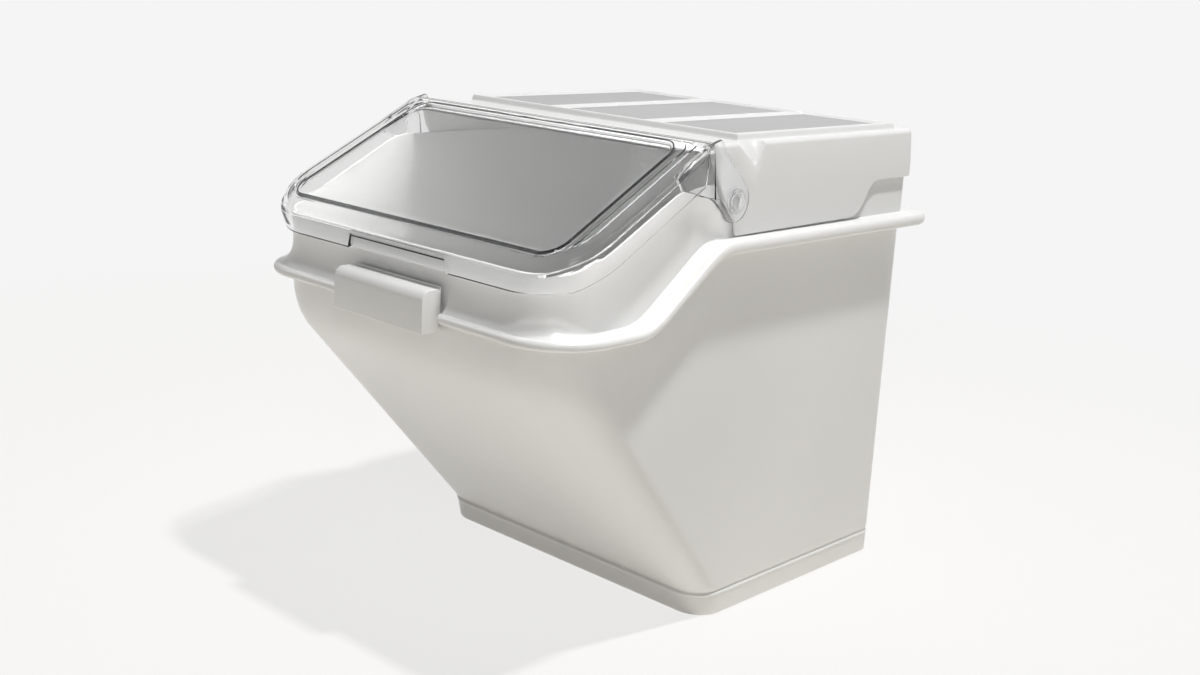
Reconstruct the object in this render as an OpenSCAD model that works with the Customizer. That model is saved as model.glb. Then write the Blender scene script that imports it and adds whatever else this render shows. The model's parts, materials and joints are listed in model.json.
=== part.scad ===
// Rice bin with a flip lid: a slope-fronted tub with a rolled rim and collar, a lift-off
// rear cover, a clear lid that swings on two push pins, and a clip-on front pull.
// Millimetres, +Z up, front towards -Y, origin on the floor under the middle of the box.

/* [Tub foot] */
// Width of the foot
foot_w = 329; // [280:1:360]
// Depth of the foot, front to rear
foot_d = 262; // [220:1:320]
// Corner radius of the foot at the front
foot_r_front = 26; // [15:1:40]
// Corner radius of the foot at the rear
foot_r_rear = 12; // [8:1:30]
// Height of the plinth band round the foot
plinth_h = 22; // [12:1:34]
// How far the plinth leans out at the front
plinth_lean = 6; // [0:0.5:10]

/* [Tub walls] */
// Wall thickness of the tub
wall = 3; // [2:0.5:5]
// Thickness of the tub floor
floor_t = 4; // [3:0.5:8]
// Width of the tub just under the rim
top_w = 349; // [300:1:372]
// How far the front wall reaches ahead of the foot
nose = 209; // [150:1:230]
// How far below the rim's middle the front wall turns upright
nose_under = 7; // [7:1:32]
// Radius of the bend between the slope and the upright front wall
nose_r = 70; // [30:1:90]
// Corner radius of the walls at the front, under the rim
top_r_front = 52; // [30:1:54]
// Corner radius of the walls at the rear, under the rim
top_r_rear = 37; // [15:1:50]

/* [Rim and collar] */
// Middle height of the rim along the low front run
rim_low = 278; // [276:1:290]
// How far the rim climbs from the low front run to the high rear run
rim_rise = 57; // [47:1:57]
// How far the high run starts ahead of the front of the foot
rim_bend_high = 37; // [20:1:50]
// How far the low run ends ahead of the front of the foot
rim_bend_low = 108; // [90:1:120]
// How far the rim bead stands out from the tub wall
bead_out = 16.5; // [10:0.5:20]
// Height of the rim bead
bead_h = 10; // [7:0.5:13]
// How far the rear run of the bead stands behind the tub wall
bead_rear = 16; // [10:0.5:20]
// How far the front run of the bead stands ahead of the tub wall
bead_front = 10; // [6:0.5:16]
// How far the collar is set in from the tub wall at the sides
collar_in = 3; // [2.5:0.5:5]
// Share of the bead's height that is left along the low front run
bead_slim = 0.78; // [0.7:0.01:1]
// Height of the hollow flare between the bead and the collar along the low front run
flare_h = 16; // [8:1:17]
// Width of the flare at its foot
flare_w = 10.5; // [5:0.5:10.5]
// How far the collar is set in from the front wall
collar_in_front = 3; // [1:0.5:3]
// How far the collar is set in from the rear wall
collar_in_rear = 9; // [8:0.5:12]
// Corner radius of the collar at the front
collar_r_front = 40; // [30:1:45]
// Corner radius of the collar at the rear
collar_r_rear = 14; // [12:1:18]
// Height of the collar edge over the rim along the front
collar_front_h = 50; // [42:1:52]
// Height of the collar edge over the rim under the rear cover
collar_rear_h = 49; // [41:1:51]
// Gap between the lid's window plane and the collar edge, straight down
collar_drop = 22; // [18:1:26]

/* [Front pull] */
// Width of the pull
pull_w = 110; // [80:1:120]
// Depth of the pull at its top
pull_d = 16; // [12:1:22]
// Extra depth at its lower lip
pull_flare = 4; // [0:0.5:6]
// How far the pull reaches below the rim's middle
pull_under = 12; // [8:1:20]
// How far the pull's back plate stands over the rim's middle
pull_over = 23; // [19:1:28]
// Radius of the pull's crown at the front
crown_r = 7; // [4:0.5:7.5]
// Thickness of the plate at the pull's back
plate_t = 1.8; // [1:0.1:3]
// Wall thickness of the pull
pull_wall = 3.2; // [2:0.1:4]
// Width of the break in the rim bead that takes the pull
bead_break_w = 126; // [120:1:150]

/* [Rear cover] */
// Gap between the collar and the cover at each side
cover_fit = 1; // [0.5:0.1:1.5]
// Wall thickness of the cover
cover_wall = 2.5; // [2:0.1:2.6]
// Height of the cover from its lower edge to its shoulder
cover_h = 74.3; // [73:0.1:75]
// Height of the raised panel above the shoulder
plateau_h = 5; // [3:0.5:5]
// Margin from the cover's side to the raised panel
plateau_in = 16; // [12:1:30]
// Margin from the cover's front edge to the raised panel
plateau_front = 49; // [47:1:52]
// How far the cover's lower edge stays over the rim's middle
cover_over = 6.2; // [6:0.2:8]
// How far the cover's rear stands behind the collar
cover_behind = 4; // [3.5:0.5:6]
// Corner radius of the cover at the rear
cover_r = 15; // [10:1:18]
// Height of the hand notch at the rear corners
notch_h = 32.3; // [24:0.1:38]
// How far the notch reaches forward from the cover's rear
notch_len = 76; // [60:1:90]
// Depth of the three sunk panels
panel_sink = 2; // [1:0.5:3]
// Place of each rib to the side of the middle
rib_x = 57; // [40:1:70]
// Width of each rib between the sunk panels
rib_w = 8; // [5:0.5:14]
// Depth of the pinch dimple on each shoulder
dimple_d = 18; // [4:0.5:19]

/* [Lid] */
// Thickness of the clear lid
lid_wall = 2.8; // [2:0.1:3]
// Slope of the lid's window plane
lid_slope = 27.3; // [27:0.1:27.6]
// Height of the window plane over the rim's middle, at its front border line
lid_over = 64; // [63.5:0.5:65]
// How far the lid's skirt stands ahead of the tub's front wall
lid_ahead = 2.5; // [2:0.5:4]
// Margin from the lid's front skirt to the window's border line
win_front = 13.5; // [12:0.5:15]
// How far the lid's rear edge lies ahead of the foot's front
lid_rear = 45; // [44:0.5:48]
// How far the lid's shoulder stands outside the cover, at the front
lid_side = 11.5; // [11:0.5:13]
// Margin from the lid's shoulder to the window's border line at the sides
win_side = 25.5; // [23:0.5:35]
// How much each side closes in from front to rear
lid_taper = 7; // [6:0.5:7.5]
// Drop from the window plane to the lid's shoulder edge
lid_drop = 3; // [2:0.5:4]
// Depth of the lid's skirt at the sides, straight down
skirt_d = 30.5; // [26:0.5:32]
// Height of the skirt's lower edge over the rim's middle, at the front
skirt_over = 34; // [32:0.5:38]
// Corner radius of the lid at the front
lid_r = 50; // [44:1:56]
// Height of the raised border line round the window
border_h = 1.2; // [0.5:0.1:2]
// Half width of the lift notch in the lid's front skirt
lift_half_w = 60; // [40:1:70]
// Height of the lift notch over the skirt's lower edge
lift_h = 11; // [6:0.5:12]

/* [Hinge] */
// How far the hinge axis lies ahead of the foot's front
hinge_y = 14; // [13:0.5:15]
// Height of the hinge axis over the cover's lower edge
hinge_over = 29.3; // [28.5:0.1:29.8]
// Diameter of the hinge pin's shank
pin_d = 9; // [6:0.5:10]
// Radial running clearance of the pin in the lid's ear
pin_clear = 0.1; // [0.05:0.05:0.1]
// Diameter of the pin's head
pin_head_d = 20; // [14:0.5:22]
// Thickness of the pin's head
pin_head_t = 2; // [1.5:0.1:2.5]
// Radius of the ear's round end
ear_r = 17.5; // [15:0.5:18]
// Thickness of the ear
ear_t = 3.4; // [3:0.1:3.8]

/* [Hidden] */
$fn = 64;
white = [0.93, 0.93, 0.92];
clear = [0.80, 0.84, 0.86, 0.45];
gap = 0.4;         // between pieces of different bodies
hair = 0.05;       // between a pin and the cover that holds it

// Heights and half widths that follow from the sizes above
rim_high = rim_low + rim_rise;
nose_z = rim_low - nose_under;
pull_z0 = rim_low - pull_under;
pull_z1 = rim_low + pull_over;
cover_z0 = rim_high + cover_over;
cover_top = cover_z0 + cover_h;
hinge_z = cover_z0 + hinge_over;
cover_hw = top_w/2 - collar_in + cover_fit + cover_wall;
lid_half_w = cover_hw + lid_side;
win_half_w = lid_half_w - win_side;
lid_front = nose + lid_ahead;
lid_nose = lid_front - win_front;

// Everything is drawn with the front of the foot at y = 0, then moved to the origin
front_end = -(nose + pull_d + pull_flare);
rear_end = foot_d + bead_rear;
shift_y = -(front_end + rear_end)/2;
module place() translate([0, shift_y, 0]) children();

function mix(a, b, t) = a + (b - a)*t;
function unit(u) = max(0, min(1, u));
function ease(u) = let (c = unit(u)) c*c*(3 - 2*c);
function ramp(y, a, b, za, zb) = mix(za, zb, unit((y - a)/(b - a)));

// --- Plan outlines: a rectangle with round corners, with the same number of points each time ---
corner_n = 6;      // steps round each corner
side_n = 14;       // steps along each side
run_ref = 120;     // front-run points close in when the straight run is shorter than this
front_x = [0, 24, 44, 56, bead_break_w/2, bead_break_w/2 + 4, 96];
front_n = len(front_x);

// Side points crowd towards the front half, where the rim climbs
function side_y(u, a, b) = a + (b - a)*(0.62*u + 0.38*pow(u, 2.2));
function arc(x, y, r, a0) = [for (i = [0:corner_n]) let (a = a0 + 90*i/corner_n)
    [x + r*cos(a), y + r*sin(a)]];
// half width, front, rear, front corner radius, rear corner radius; runs from the middle of the front
function ring(hw, yf, yr, rf, rr) = let (k = min(1, (hw - rf)/run_ref)) concat(
    [for (x = front_x) [x*k, yf]],
    arc(hw - rf, yf + rf, rf, -90),
    [for (i = [1:side_n - 1]) [hw, side_y(i/side_n, yf + rf, yr - rr)]],
    arc(hw - rr, yr - rr, rr, 0),
    [[0, yr]],
    arc(rr - hw, yr - rr, rr, 90),
    [for (i = [side_n - 1:-1:1]) [-hw, side_y(i/side_n, yf + rf, yr - rr)]],
    arc(rf - hw, yf + rf, rf, 180),
    [for (i = [front_n - 1:-1:1]) [-front_x[i]*k, yf]]);

// Faces between each ring of n points and the next
function between(n, m) = [for (k = [0:m - 2]) for (i = [0:n - 1]) let (j = (i + 1)%n) each
    [[k*n + i, (k + 1)*n + i, k*n + j], [k*n + j, (k + 1)*n + i, (k + 1)*n + j]]];
function middle(r) = [for (a = [0:2]) let (v = [for (p = r) p[a]]) (max(v) + min(v))/2];
// A skin through rings of points, closed at each end by a fan about the ring's middle
module skin(rings) {
    n = len(rings[0]);
    m = len(rings);
    polyhedron(points = concat([for (r = rings) each r], [middle(rings[0]), middle(rings[m - 1])]),
        convexity = 10, faces = concat(between(n, m), [for (i = [0:n - 1]) let (j = (i + 1)%n) each
            [[i, j, n*m], [(m - 1)*n + j, (m - 1)*n + i, n*m + 1]]]));
}
// The same for rings that go out along one side of a wall and back along the other
module folded_skin(rings) {
    n = len(rings[0]);
    m = len(rings);
    e = (m - 1)*n;
    polyhedron(points = [for (r = rings) each r], convexity = 10, faces = concat(between(n, m),
        [for (i = [0:n/2 - 2]) let (j = n - 1 - i) each
            [[i, i + 1, j], [i + 1, j - 1, j], [e + i + 1, e + i, e + j], [e + j - 1, e + i + 1, e + j]]]));
}

// --- Heights along Y ---
bend_r = 11;       // half length of each rounded bend in the rim
function rim_raw(y) = ramp(y, -rim_bend_low, -rim_bend_high, rim_low, rim_high);
function rim_z(y) = (rim_raw(y - bend_r*0.8) + 2*rim_raw(y - bend_r*0.3) + 2*rim_raw(y + bend_r*0.3)
                     + rim_raw(y + bend_r*0.8))/6;
function lid_plane(y) = rim_low + lid_over + (y + lid_nose)*tan(lid_slope);
function collar_raw(y) = min(rim_high + collar_rear_h, max(rim_low + collar_front_h,
    lid_plane(y) - collar_drop));
function collar_z(y) = (collar_raw(y - 8) + 2*collar_raw(y) + collar_raw(y + 8))/4;

// --- Tub ---
slope_z0 = plinth_h + 1.5;   // the wall starts over a small ledge on the plinth
nose_turn = 41.8;            // turn of the bend, in degrees from upright
bend_z0 = nose_z - nose_r*sin(nose_turn);
bend_y0 = nose - nose_r*(1 - cos(nose_turn));
function front_out(z) = z < slope_z0 ? plinth_lean*z/slope_z0
    : z < bend_z0 ? mix(plinth_lean, bend_y0, (z - slope_z0)/(bend_z0 - slope_z0))
    : z < nose_z ? nose - nose_r*(1 - cos(asin((nose_z - z)/nose_r))) : nose;

split_z = nose_z - 82;       // above this the levels follow the rim
bead_r = bead_h/2;
rim_base = rim_low - bead_r;
function tub_ring(z, t) = let (u = z/rim_base)
    ring(mix(foot_w, top_w, u)/2 - t, t - front_out(z), foot_d - t,
         mix(foot_r_front, top_r_front, u) - t, mix(foot_r_rear, top_r_rear, u) - t);
function level(z, y) = z <= split_z ? z
    : mix(split_z, rim_z(y) - bead_r, (z - split_z)/(rim_base - split_z));
function wall_ring(z, t) = [for (p = tub_ring(z, t)) [p.x, p.y, level(z, p.y)]];

wall_top = tub_ring(rim_base, 0);
ring_n = len(wall_top);
bead_ring = ring(top_w/2 + bead_out, -nose - bead_front, rear_end, top_r_front + 2, top_r_rear - 5);
function collar_ring(t) = ring(top_w/2 - collar_in - t, collar_in_front + t - nose,
    foot_d - collar_in_rear - t, collar_r_front - t, collar_r_rear - t);
collar = collar_ring(0);
// Every level from the bead up rides on the rim, by the place of its points along Y
function rim_at(i) = rim_z(wall_top[i].y);
// 1 where the bead runs, 0 in the break behind the pull
front_k = min(1, (top_w/2 - top_r_front)/run_ref);
function bead_on(i) = wall_top[i].y < 30 - nose
    ? ease((abs(wall_top[i].x)/front_k - bead_break_w/2)/4) : 1;
// 1 along the low front run, 0 along the high rear run
function low_run(i) = ramp(wall_top[i].y, -rim_bend_low - 12, -rim_bend_high - 13, 1, 0);
function bead_half(i) = bead_r*mix(1, bead_slim, low_run(i));
// The bead's round nose: a place from the wall or the collar out to the bead, set back from its face
function bead_level(start, back, up) = [for (i = [0:ring_n - 1]) let (
        share = max(0, 1 - back/norm(bead_ring[i] - start[i])),
        p = mix(start[i], bead_ring[i], share*bead_on(i))) [p.x, p.y, rim_at(i) + up*bead_half(i)]];
// The hollow flare over the bead: a quarter round that is tall along the low run only
flare_min = 1.2;
function flare_level(a) = [for (i = [0:ring_n - 1]) let (
        reach = norm(bead_ring[i] - collar[i]),
        w = min(mix(flare_min, flare_w, low_run(i)), reach - bead_r - 0.3),
        p = mix(collar[i], bead_ring[i], (1 - cos(a))*w/reach*bead_on(i)))
    [p.x, p.y, rim_at(i) + bead_half(i) + (1 - sin(a))*mix(flare_min, flare_h, low_run(i))]];
function collar_level(t, over) = let (c = collar_ring(t)) [for (i = [0:ring_n - 1])
    [c[i].x, c[i].y, over < 0 ? collar_z(collar[i].y) : rim_at(i) + over]];

module bin_body() {
    levels = [slope_z0, 105, split_z, bend_z0 - 10, bend_z0, mix(bend_z0, nose_z, 0.25),
              mix(bend_z0, nose_z, 0.5), mix(bend_z0, nose_z, 0.75), nose_z];
    side = bead_r*(1 - cos(45));
    color(white) place() skin(concat(
        [wall_ring(0, 1.5), wall_ring(1.5, 0.2), wall_ring(plinth_h, 0), wall_ring(plinth_h + 0.5, 1.4)],
        [for (z = levels) wall_ring(z, 0)],
        [bead_level(wall_top, 99, -1), bead_level(wall_top, bead_r, -0.96),
         bead_level(wall_top, side, -sin(45)), bead_level(wall_top, 0, 0),
         bead_level(collar, side, sin(45)), bead_level(collar, bead_r, 0.96)],
        [for (a = [90, 65, 40, 20, 0]) flare_level(a)],
        [collar_level(0, -1), collar_level(wall, -1), collar_level(wall, bead_r + 2)],
        [for (i = [len(levels) - 1:-1:0]) wall_ring(levels[i], wall)],
        [wall_ring(floor_t, wall + 1.5)]));
}

// --- Front pull: a hooked lip with closed ends, open below ---
crown_drop = 1.8;            // from the top of the back plate down to the crown
crown_back_r = 4.2;
module pull_side(inset) {
    back = -nose - gap/2;
    crown = pull_z1 - crown_drop;
    edge = inset > 0 ? back - inset : back - plate_t;
    low = pull_z0 - inset*2;
    hull() {
        translate([back - pull_d + 0.6 + crown_r, crown - crown_r]) circle(crown_r - inset);
        translate([edge - crown_back_r + inset, crown - crown_back_r]) circle(crown_back_r - inset);
        translate([back - pull_d - pull_flare + inset, low]) square([1, 4]);
        translate([edge - 1, low]) square([1, 4]);
    }
    if (inset == 0) translate([back - plate_t - 0.5, pull_z0]) square([plate_t + 0.5, pull_z1 - pull_z0]);
}
module front_pull() color(white) place() difference() {
    translate([-pull_w/2, 0, 0]) rotate([90, 0, 90]) linear_extrude(pull_w) pull_side(0);
    translate([-pull_w/2 + pull_wall, 0, 0]) rotate([90, 0, 90])
        linear_extrude(pull_w - 2*pull_wall) pull_side(pull_wall);
}

// --- Rear cover: sections across it, one behind the other ---
cover_rear = foot_d - collar_in_rear + cover_behind;
lug_y = 41;                  // how far the cover's lugs reach ahead of the foot's front
lean_z = cover_top - 36.5;   // above this the cover's side leans in
lean_in = 3;
tuck = 13;                   // how far the cover's front lip tucks under the lid
tuck_drop = 5.6;
function lookup2(x, t, i = 0) = i >= len(t) - 1 ? t[len(t) - 1].y
    : x <= t[i + 1].x ? ramp(x, t[i].x, t[i + 1].x, t[i].y, t[i + 1].y) : lookup2(x, t, i + 1);
// Lower edge of the side: the lug's sloping front, the long run, and the hand notch at the rear
notch_y = cover_rear - notch_len;
notch_z = cover_z0 + notch_h;
edge_line = [[-lug_y - tuck, cover_top - 9], [-lug_y - 1, cover_top - 7.5], [-lug_y, cover_top - 7],
             [-hinge_y - 22, hinge_z + 20.5], [-hinge_y - 11, hinge_z + 2], [-hinge_y + 7, hinge_z - 19.5],
             [-hinge_y + 11, cover_z0 + 1.5], [-hinge_y + 17, cover_z0],
             [notch_y - 22.5, cover_z0], [notch_y - 14, cover_z0 + 3], [notch_y - 6, cover_z0 + 9],
             [notch_y + 2, notch_z - 9.5], [notch_y + 9, notch_z - 1.5], [notch_y + 16, notch_z],
             [cover_rear, notch_z]];
function cover_half(y) = let (c = cover_rear - cover_r) y < c ? cover_hw
    : cover_hw - cover_r + sqrt(max(0, pow(cover_r, 2) - pow(y - c, 2)));
function rear_round(y) = 3*(1 - sqrt(1 - pow(unit((y - cover_rear + 4)/4), 2)));
plat_y0 = plateau_front - lug_y;
plat_y1 = cover_rear - 22;
plat_x = cover_hw - plateau_in;
// Height of the top at a place: shoulder, raised panel with sloping sides, three sunk panels
plat_edge = 2;               // width of the raised panel's sloping edge
function raised(x, y) = plateau_h*unit((plat_x + plat_edge - abs(x))/plat_edge)
    *unit((y - plat_y0 + plat_edge)/plat_edge)*unit((plat_y1 + plat_edge - y)/plat_edge);
function in_panel(x, y) = let (a = abs(x))
    unit((y - plat_y0 - 4)/2)*unit((plat_y1 - 4 - y)/2)
    *max(unit((rib_x - rib_w/2 - a)/2), unit((a - rib_x - rib_w/2)/2)*unit((plat_x - 5 - a)/2));
// The pinch in each shoulder: a wedge that is deepest at the cover's side
function dimple(x, y) = dimple_d*unit((abs(x) - plat_x - plat_edge)/(cover_hw - lean_in - plat_x - plat_edge))
    *(y < 17 ? unit((y + 6)/23) : unit((27 - y)/10));
function top_z(x, y) = cover_top + raised(x, y) - panel_sink*in_panel(x, y) - dimple(x, y) - rear_round(y)
    - tuck_drop*unit((-lug_y - 1 - y)/(tuck - 1));
function under_z(x, y) = let (w = cover_wall)
    min([for (dx = [-w, 0, w]) for (dy = [-w, 0, w]) top_z(x + dx, y + dy)]) - w;
across = [plat_x + plat_edge + 2, plat_x + plat_edge, plat_x, plat_x - 5, plat_x - 7, rib_x + rib_w/2 + 2, rib_x + rib_w/2, rib_x - rib_w/2,
          rib_x - rib_w/2 - 2];
function lean_x(h, z) = h - (lean_in - 0.6)*unit((z - lean_z - 4)/(cover_top - lean_z - 8));
// Half a section, from the lower edge up to the middle, set in by t
function half_section(y, t) = let (h = cover_half(y) - t, zb = lookup2(y, edge_line), xt = h - lean_in,
        z = t > 0 ? under_z(xt, y) : top_z(xt, y), zm = max(zb + 0.5, lean_z + 4))
    concat([[lean_x(h, zb), zb], [lean_x(h, zm), zm], [xt + 0.6, z - 3.5], [xt - 0.6, z - 1], [xt - 2, z]],
           [for (x = across) let (q = x*min(1, (xt - 4)/across[0]))
            [q, t > 0 ? under_z(q, y) : top_z(q, y)]]);
function section(y, y_in, solid) = let (o = half_section(y, 0), i = half_section(y_in, cover_wall),
        zb = lookup2(y, edge_line), n = len(o),
        inner = solid ? [for (k = [0:n - 1]) [o[0].x*(n - k)/(n + 1), zb]] : i)
    concat([for (k = [0:n - 1]) [o[k].x, y, o[k].y]],
           [for (k = [n - 1:-1:0]) [-o[k].x, y, o[k].y]],
           [for (k = [0:n - 1]) [-inner[k].x, y, inner[k].y]],
           [for (k = [n - 1:-1:0]) [inner[k].x, y, inner[k].y]]);
cover_ys = [-lug_y - tuck, -lug_y - 1, -lug_y, -lug_y + 2.5,
            for (d = [-22, -16, -11, -2, 7, 10]) d - hinge_y, plat_y0 - plat_edge, plat_y0, plat_y0 + 4,
            plat_y0 + 6, 17, 22, 27, 60,
            for (e = edge_line) if (e.x > 120 && e.x < plat_y1 - 6) e.x, plat_y1 - 6, plat_y1 - 4,
            plat_y1, plat_y1 + plat_edge, cover_rear - 12, cover_rear - 7];
module cover_shell() {
    yi = cover_rear - cover_wall - 0.1;
    folded_skin(concat([for (d = [0, 0.1, 0.6, 1.4]) section(cover_rear - d, yi, true)],
                       [section(yi + 0.1, yi, true), section(yi, yi, false)],
                       [for (i = [len(cover_ys) - 1:-1:0]) section(cover_ys[i], cover_ys[i], false)]));
}
module rear_cover() color(white) place() difference() {
    cover_shell();
    translate([0, -hinge_y, hinge_z]) rotate([0, 90, 0])
        cylinder(d = pin_d + 2*hair, h = 2*cover_hw + 10, center = true);
}

// --- Clear lid ---
lid_k = lid_taper/(lid_front - lid_rear);
function lid_ring(hw, yf, yr, rf, rr) = [for (p = ring(hw, yf, yr, rf, rr))
    [p.x*(1 - lid_k*(p.y + lid_front)/lid_half_w), p.y]];
rear_lip = 4.5;              // depth of the lip along the lid's rear edge
skirt_z = rim_low + skirt_over;
skirt_rise = 0.2;            // climb of the skirt's lower edge round the front corners, for each mm along Y
function skirt_low(p) = let (side = max(skirt_z + (p.y + lid_front)*skirt_rise, lid_plane(p.y) - skirt_d))
    p.y > -lid_rear - 9 ? lid_plane(p.y) - rear_lip
    : p.y < -lid_front + 2 && abs(p.x) < lift_half_w + 4
      ? mix(skirt_z + lift_h, side, unit((abs(p.x) - lift_half_w)/4)) : side;
// A level a given drop below the window plane, but always over the skirt's lower edge
function lid_level(t, out, drop, rf) = let (
        r = lid_ring(lid_half_w + out - t, t - lid_front + 1.8 - out, -lid_rear - t, rf - t, 7 - min(t, 5)))
    [for (p = r) [p.x, p.y, max(lid_plane(p.y) - drop, skirt_low(p) + (20 - drop)*0.1)]];
function lid_edge(t) = let (
        r = lid_ring(lid_half_w + 2.2 - t, t - lid_front + 0.3, -lid_rear - t, lid_r + 10 - t,
                     7 - min(t, 5)))
    [for (p = r) [p.x, p.y, skirt_low(p)]];
function window_level(inset, up) = [for (p = lid_ring(win_half_w - inset, inset - lid_nose,
        -lid_rear - 12 - inset, 17 - inset, 16 - inset)) [p.x, p.y, lid_plane(p.y) + up]];
module lid_shell() skin([window_level(-1.5, -lid_wall), lid_level(lid_wall, 0, lid_drop + lid_wall, lid_r),
    lid_level(lid_wall, 0.9, 11, lid_r), lid_level(lid_wall, 1.5, 12.5, lid_r), lid_edge(lid_wall),
    lid_edge(0), lid_level(0, 1.9, 10, lid_r), lid_level(0, 1.1, 8.5, lid_r),
    lid_level(0, 0.6, lid_drop + 1.5, lid_r),
    lid_level(0, 0, lid_drop, lid_r), lid_level(1.4, 0, lid_drop - 0.9, lid_r), window_level(-1.5, 0),
    window_level(-0.4, border_h), window_level(1.6, border_h), window_level(2.8, 0)]);
ear_x = cover_hw + gap;
ear_top = lid_drop + 1.5;    // how far the ear's top edge stays under the window plane
// The round end with an arm up to the lid's rear corner, and a web along the inside of the lid's skirt
module ear(side) translate([side > 0 ? ear_x : -ear_x - ear_t, 0, 0]) rotate([90, 0, 90])
    linear_extrude(ear_t) {
        hull() {
            translate([-hinge_y, hinge_z]) circle(ear_r);
            polygon([for (y = [-lid_rear - 22, -lid_rear - 1]) [y, lid_plane(y) - ear_top],
                     [-hinge_y - 14, hinge_z + 40.5], [-lid_rear - 14, hinge_z + 10.5]]);
        }
        polygon([for (y = [-lid_rear - 40, -lid_rear - 18]) [y, lid_plane(y) - ear_top - 1.5],
                 [-lid_rear - 12, hinge_z + 10.5],
                 [-lid_rear - 22, lid_plane(-lid_rear - 22) - skirt_d + 2]]);
    }
module clear_lid() color(clear) place() difference() {
    union() { lid_shell(); ear(1); ear(-1); }
    translate([0, -hinge_y, hinge_z]) rotate([0, 90, 0])
        cylinder(d = pin_d + 2*pin_clear, h = 2*cover_hw + 30, center = true);
}

// --- Hinge pins: a shank through the ear into the cover, with a round head outside ---
module hinge_pin(side) color(white) place() translate([0, -hinge_y, hinge_z]) rotate([0, side*90, 0]) {
    translate([0, 0, cover_hw - cover_wall + 0.2]) cylinder(d = pin_d, h = cover_wall + gap + ear_t + gap);
    translate([0, 0, ear_x + ear_t + gap]) cylinder(d = pin_head_d, h = pin_head_t);
}
module hinge_pin_left() hinge_pin(-1);
module hinge_pin_right() hinge_pin(1);

bin_body();
front_pull();
rear_cover();
clear_lid();
hinge_pin_left();
hinge_pin_right();
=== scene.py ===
import json
from math import asin, cos, pi, radians, sin, sqrt, tan

import bmesh
import bpy
from bpy.props import FloatProperty, FloatVectorProperty, PointerProperty
from mathutils import Matrix, Vector


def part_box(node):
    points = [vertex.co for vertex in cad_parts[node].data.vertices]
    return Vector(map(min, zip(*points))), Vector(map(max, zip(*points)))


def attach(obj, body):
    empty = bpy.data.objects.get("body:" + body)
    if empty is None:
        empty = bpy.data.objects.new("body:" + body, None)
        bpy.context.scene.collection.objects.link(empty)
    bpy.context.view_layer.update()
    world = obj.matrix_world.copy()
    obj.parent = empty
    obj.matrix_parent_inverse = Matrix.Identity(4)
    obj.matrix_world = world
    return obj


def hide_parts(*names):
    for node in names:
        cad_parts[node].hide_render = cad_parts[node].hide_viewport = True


bl_info = {
    "name": "Rice Bin",
    "version": (1, 0, 0),
    "blender": (4, 5, 0),
    "location": "3D View > Sidebar > Rice Bin",
    "description": "Dresses a slope-fronted rice bin: tub, pull, rear cover, clear lid and pins",
    "category": "Object",
}

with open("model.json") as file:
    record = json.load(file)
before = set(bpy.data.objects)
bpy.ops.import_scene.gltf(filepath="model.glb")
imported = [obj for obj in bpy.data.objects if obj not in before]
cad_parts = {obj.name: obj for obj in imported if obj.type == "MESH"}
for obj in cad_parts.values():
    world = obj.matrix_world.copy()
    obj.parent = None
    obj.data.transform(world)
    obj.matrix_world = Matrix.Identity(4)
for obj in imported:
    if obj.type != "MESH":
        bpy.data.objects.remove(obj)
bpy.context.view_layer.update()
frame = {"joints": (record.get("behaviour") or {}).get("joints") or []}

MM = 0.001
TUB_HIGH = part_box("bin_body")[1]
PULL_LOW, PULL_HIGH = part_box("front_pull")
COVER_LOW, COVER_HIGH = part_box("rear_cover")
PIN_LOW, PIN_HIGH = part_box("hinge_pin_right")
PIVOT = Vector(next(j["pos_m"] for j in frame["joints"] if j["name"] == "lid_flip")) / MM

# All shapes are worked out in millimetres with the front of the foot at y = 0, and then moved.
HINGE_Y = -14.0
SHIFT_Y = PIVOT.y - HINGE_Y
HINGE_Z = PIVOT.z
FOOT_DEPTH = 262.0
RIM_REAR = TUB_HIGH.y / MM - SHIFT_Y


# --- Numbers ----------------------------------------------

def mix(a, b, t):
    """The value that is the share t of the way from a to b."""
    return a + (b - a) * t


def unit(u):
    return max(0.0, min(1.0, u))


def ease(u):
    """A smooth step from 0 to 1."""
    u = unit(u)
    return u * u * (3 - 2 * u)


def ramp(y, a, b, za, zb):
    """za up to y = a, zb from y = b on, and a straight run between."""
    return mix(za, zb, unit((y - a) / (b - a)))


def along(x, line):
    """Height of a broken line at x."""
    for (xa, za), (xb, zb) in zip(line, line[1:]):
        if x <= xb:
            return ramp(x, xa, xb, za, zb)
    return line[-1][1]


def steps(a, b, n):
    """Even stops from a to b, with both ends."""
    return [mix(a, b, i / n) for i in range(n + 1)]


def arc(cx, cy, r, a0, a1, n):
    """Points on a circle from one angle to another, in degrees."""
    return [(cx + r * cos(radians(a)), cy + r * sin(radians(a))) for a in steps(a0, a1, n)]


# --- Plan outlines ----------------------------------------

CORNER_STEPS = 14
SIDE_STEPS = 58
REAR_STEPS = 6
STRAIGHT_REF = 120.0  # stops on the front run close in when its straight part is shorter


def plan(half, front, rear, r_front, r_rear, stops):
    """A rectangle with round corners, from the middle of the front round by +X.

    It has the same number of points whatever its size, so that rings can be skinned."""
    k = min(1.0, (half - r_front) / STRAIGHT_REF)
    right = [(x * k, front) for x in stops]
    right += arc(half - r_front, front + r_front, r_front, -90, 0, CORNER_STEPS)
    right += [(half, y) for y in steps(front + r_front, rear - r_rear, SIDE_STEPS)[1:-1]]
    right += arc(half - r_rear, rear - r_rear, r_rear, 0, 90, CORNER_STEPS)
    right += [(x, rear) for x in steps(half - r_rear, 0, REAR_STEPS)[1:]]
    return right + [(-x, y) for x, y in reversed(right[1:-1])]


# --- Meshes -----------------------------------------------

MERGE = 1e-6  # metres


def to_frame(p):
    """A point in metres in the CAD's frame."""
    return Vector((p[0] * MM, (p[1] + SHIFT_Y) * MM, p[2] * MM))


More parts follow.
